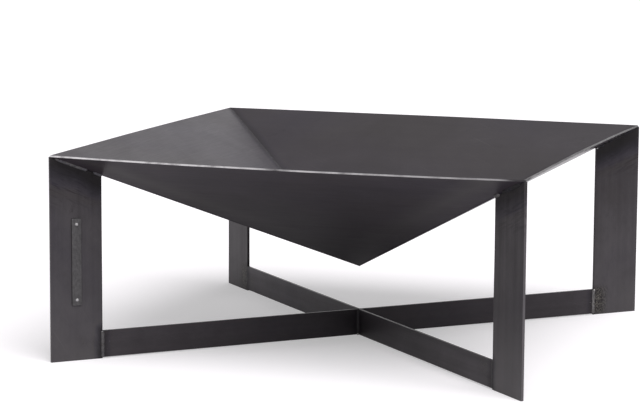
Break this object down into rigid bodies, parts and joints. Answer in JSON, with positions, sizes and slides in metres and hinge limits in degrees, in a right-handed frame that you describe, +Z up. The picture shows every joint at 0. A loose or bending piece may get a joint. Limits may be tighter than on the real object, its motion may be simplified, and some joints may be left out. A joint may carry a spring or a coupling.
{
  "type": "fire pit",
  "caption": "Square welded steel fire pit: a shallow inverted-pyramid bowl on flat-bar legs under its corners, tied together by a crossed rail just above the floor.",
  "frame": {"origin": "on the floor, straight below the bowl's tip, at the centre of the four feet", "axes": "+Z up; the rim's sides run along X and Y; the pictured front side faces -Y; legs and rails lie in the two vertical diagonal planes"},
  "size_m": [0.8036, 0.8036, 0.3436],
  "materials": {
    "sheet_steel": "raw hot-rolled sheet with its dark mill scale, satin, bright where the rim was cut",
    "bar_steel": "raw hot-rolled flat bar with dark mill scale, faint lengthwise streaks",
    "weld_metal": "unground weld bead, rippled, heat-tinted at its edges",
    "plate_steel": "blank dark plate, satin",
    "rivet_metal": "plain domed rivet"
  },
  "bodies": {
    "root": {"bowl_panel_front": "sheet_steel", "bowl_panel_right": "sheet_steel", "bowl_panel_back": "sheet_steel", "bowl_panel_left": "sheet_steel", "bowl_seam_weld_front_left": "weld_metal", "bowl_seam_weld_front_right": "weld_metal", "bowl_seam_weld_back_right": "weld_metal", "bowl_seam_weld_back_left": "weld_metal", "leg_front_left": "bar_steel", "leg_front_right": "bar_steel", "leg_back_right": "bar_steel", "leg_back_left": "bar_steel", "floor_rail_through": "bar_steel", "floor_rail_front_left": "bar_steel", "floor_rail_back_right": "bar_steel", "cross_weld_front": "weld_metal", "cross_weld_right": "weld_metal", "cross_weld_back": "weld_metal", "cross_weld_left": "weld_metal", "foot_weld_front_left_left": "weld_metal", "foot_weld_front_left_right": "weld_metal", "foot_weld_front_right_left": "weld_metal", "foot_weld_front_right_right": "weld_metal", "foot_weld_back_right_left": "weld_metal", "foot_weld_back_right_right": "weld_metal", "foot_weld_back_left_left": "weld_metal", "foot_weld_back_left_right": "weld_metal", "head_weld_front_left_long_left": "weld_metal", "head_weld_front_left_long_right": "weld_metal", "head_weld_front_left_short_left": "weld_metal", "head_weld_front_left_short_right": "weld_metal", "head_weld_front_right_long_left": "weld_metal", "head_weld_front_right_long_right": "weld_metal", "head_weld_front_right_short_left": "weld_metal", "head_weld_front_right_short_right": "weld_metal", "head_weld_back_right_long_left": "weld_metal", "head_weld_back_right_long_right": "weld_metal", "head_weld_back_right_short_left": "weld_metal", "head_weld_back_right_short_right": "weld_metal", "head_weld_back_left_long_left": "weld_metal", "head_weld_back_left_long_right": "weld_metal", "head_weld_back_left_short_left": "weld_metal", "head_weld_back_left_short_right": "weld_metal", "name_plate": "plate_steel", "plate_rivet_upper": "rivet_metal", "plate_rivet_lower": "rivet_metal"}
  },
  "joints": []
}
